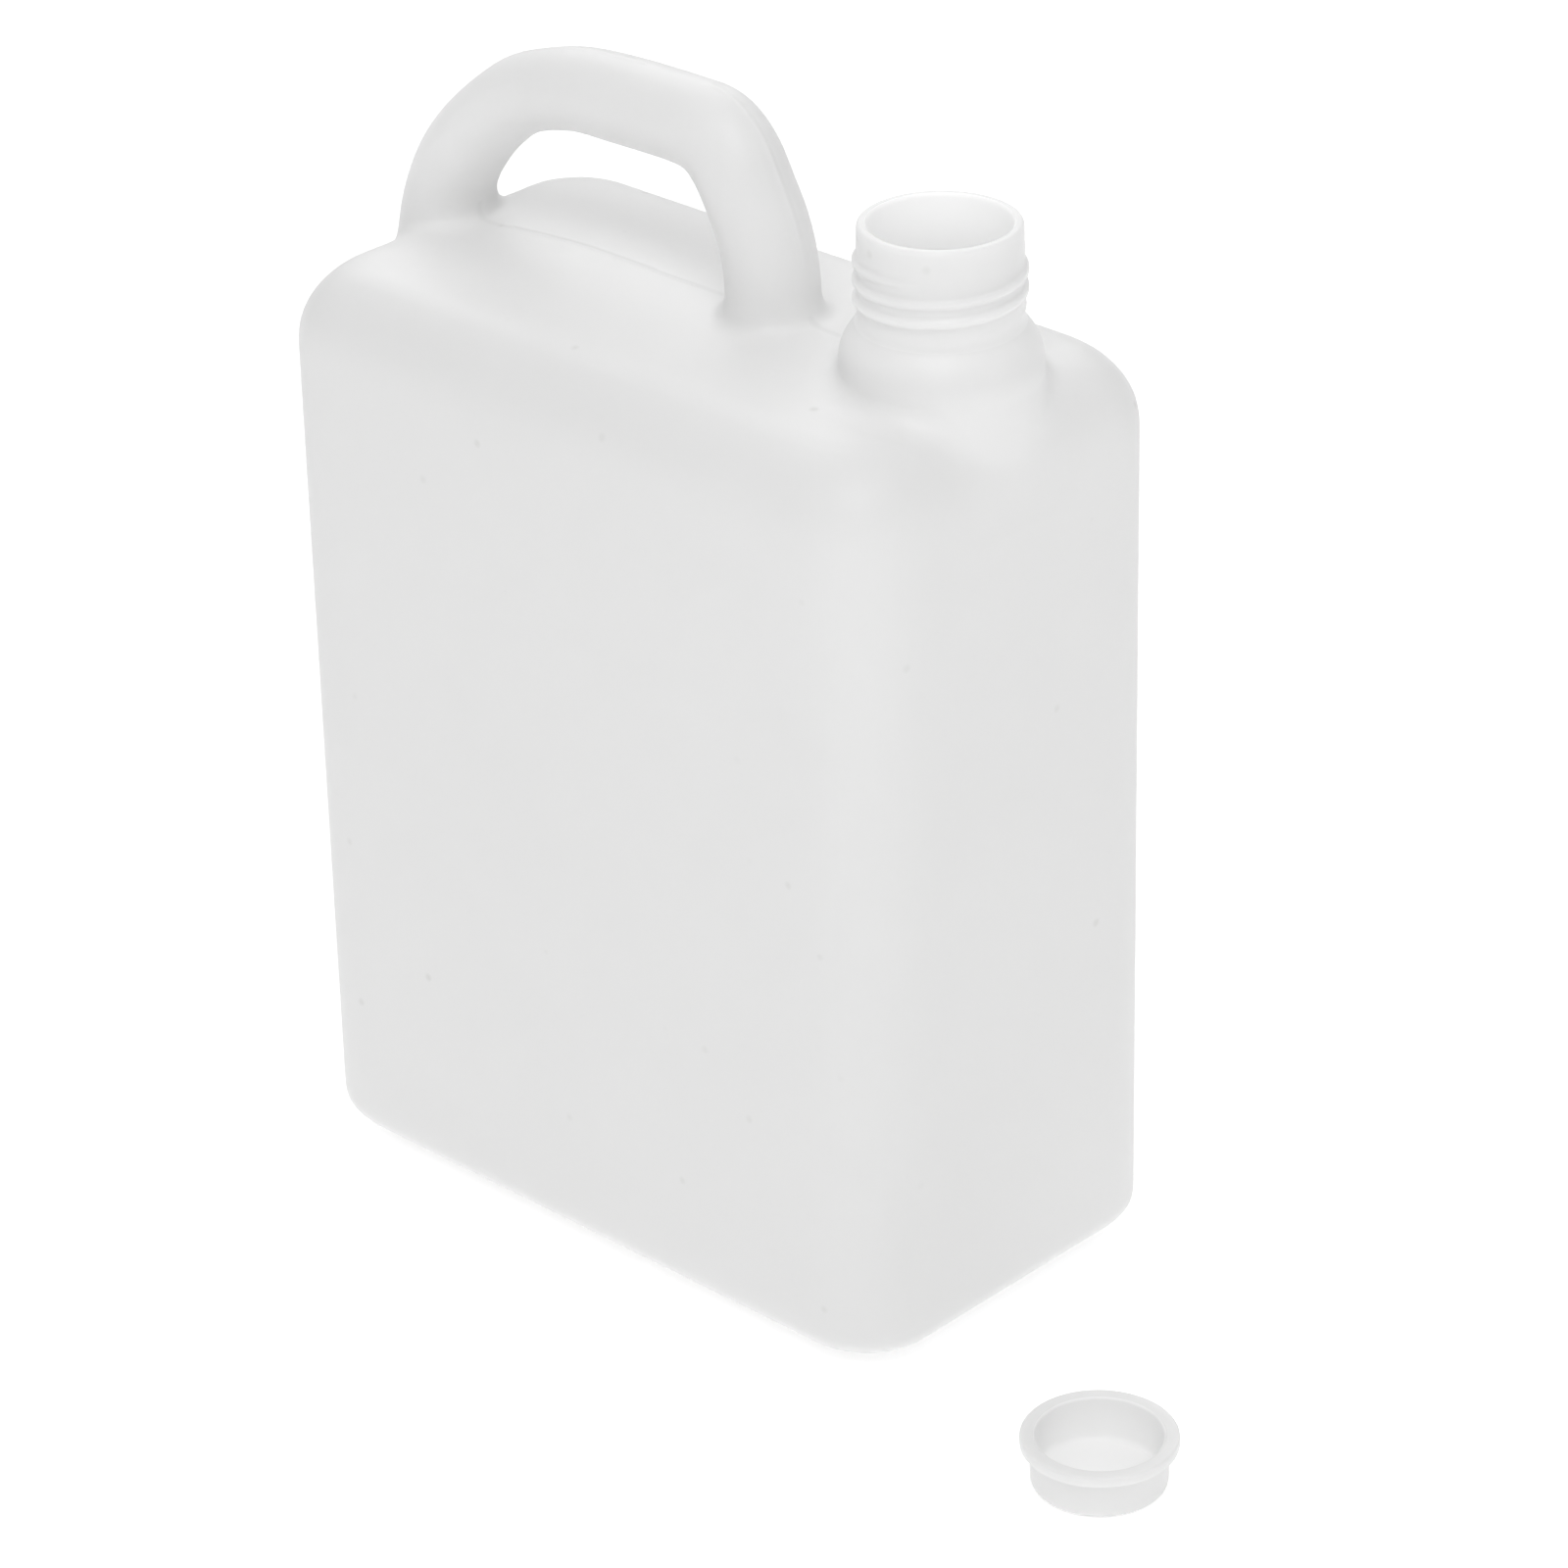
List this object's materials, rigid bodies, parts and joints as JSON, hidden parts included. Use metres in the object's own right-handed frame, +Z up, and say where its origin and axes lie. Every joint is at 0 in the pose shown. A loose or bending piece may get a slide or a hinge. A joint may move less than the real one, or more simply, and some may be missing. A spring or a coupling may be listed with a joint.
{
  "type": "plastic jerrycan bottle",
  "caption": "Square-shouldered translucent plastic bottle with a loop handle and an open threaded neck, with its loose inner plug beside it.",
  "frame": {"origin": "centre of the bottle's flat base, on the surface it stands on", "axes": "+Z up; +X along the long side of the bottle towards the neck; -Y is the broad side that faces the picture's camera"},
  "size_m": [0.2273, 0.0947, 0.2414],
  "materials": {
    "bottle_plastic": "satin translucent natural polyethylene",
    "plug_plastic": "satin translucent natural polyethylene"
  },
  "bodies": {
    "root": {"bottle": "bottle_plastic", "plug": "plug_plastic"}
  },
  "joints": []
}
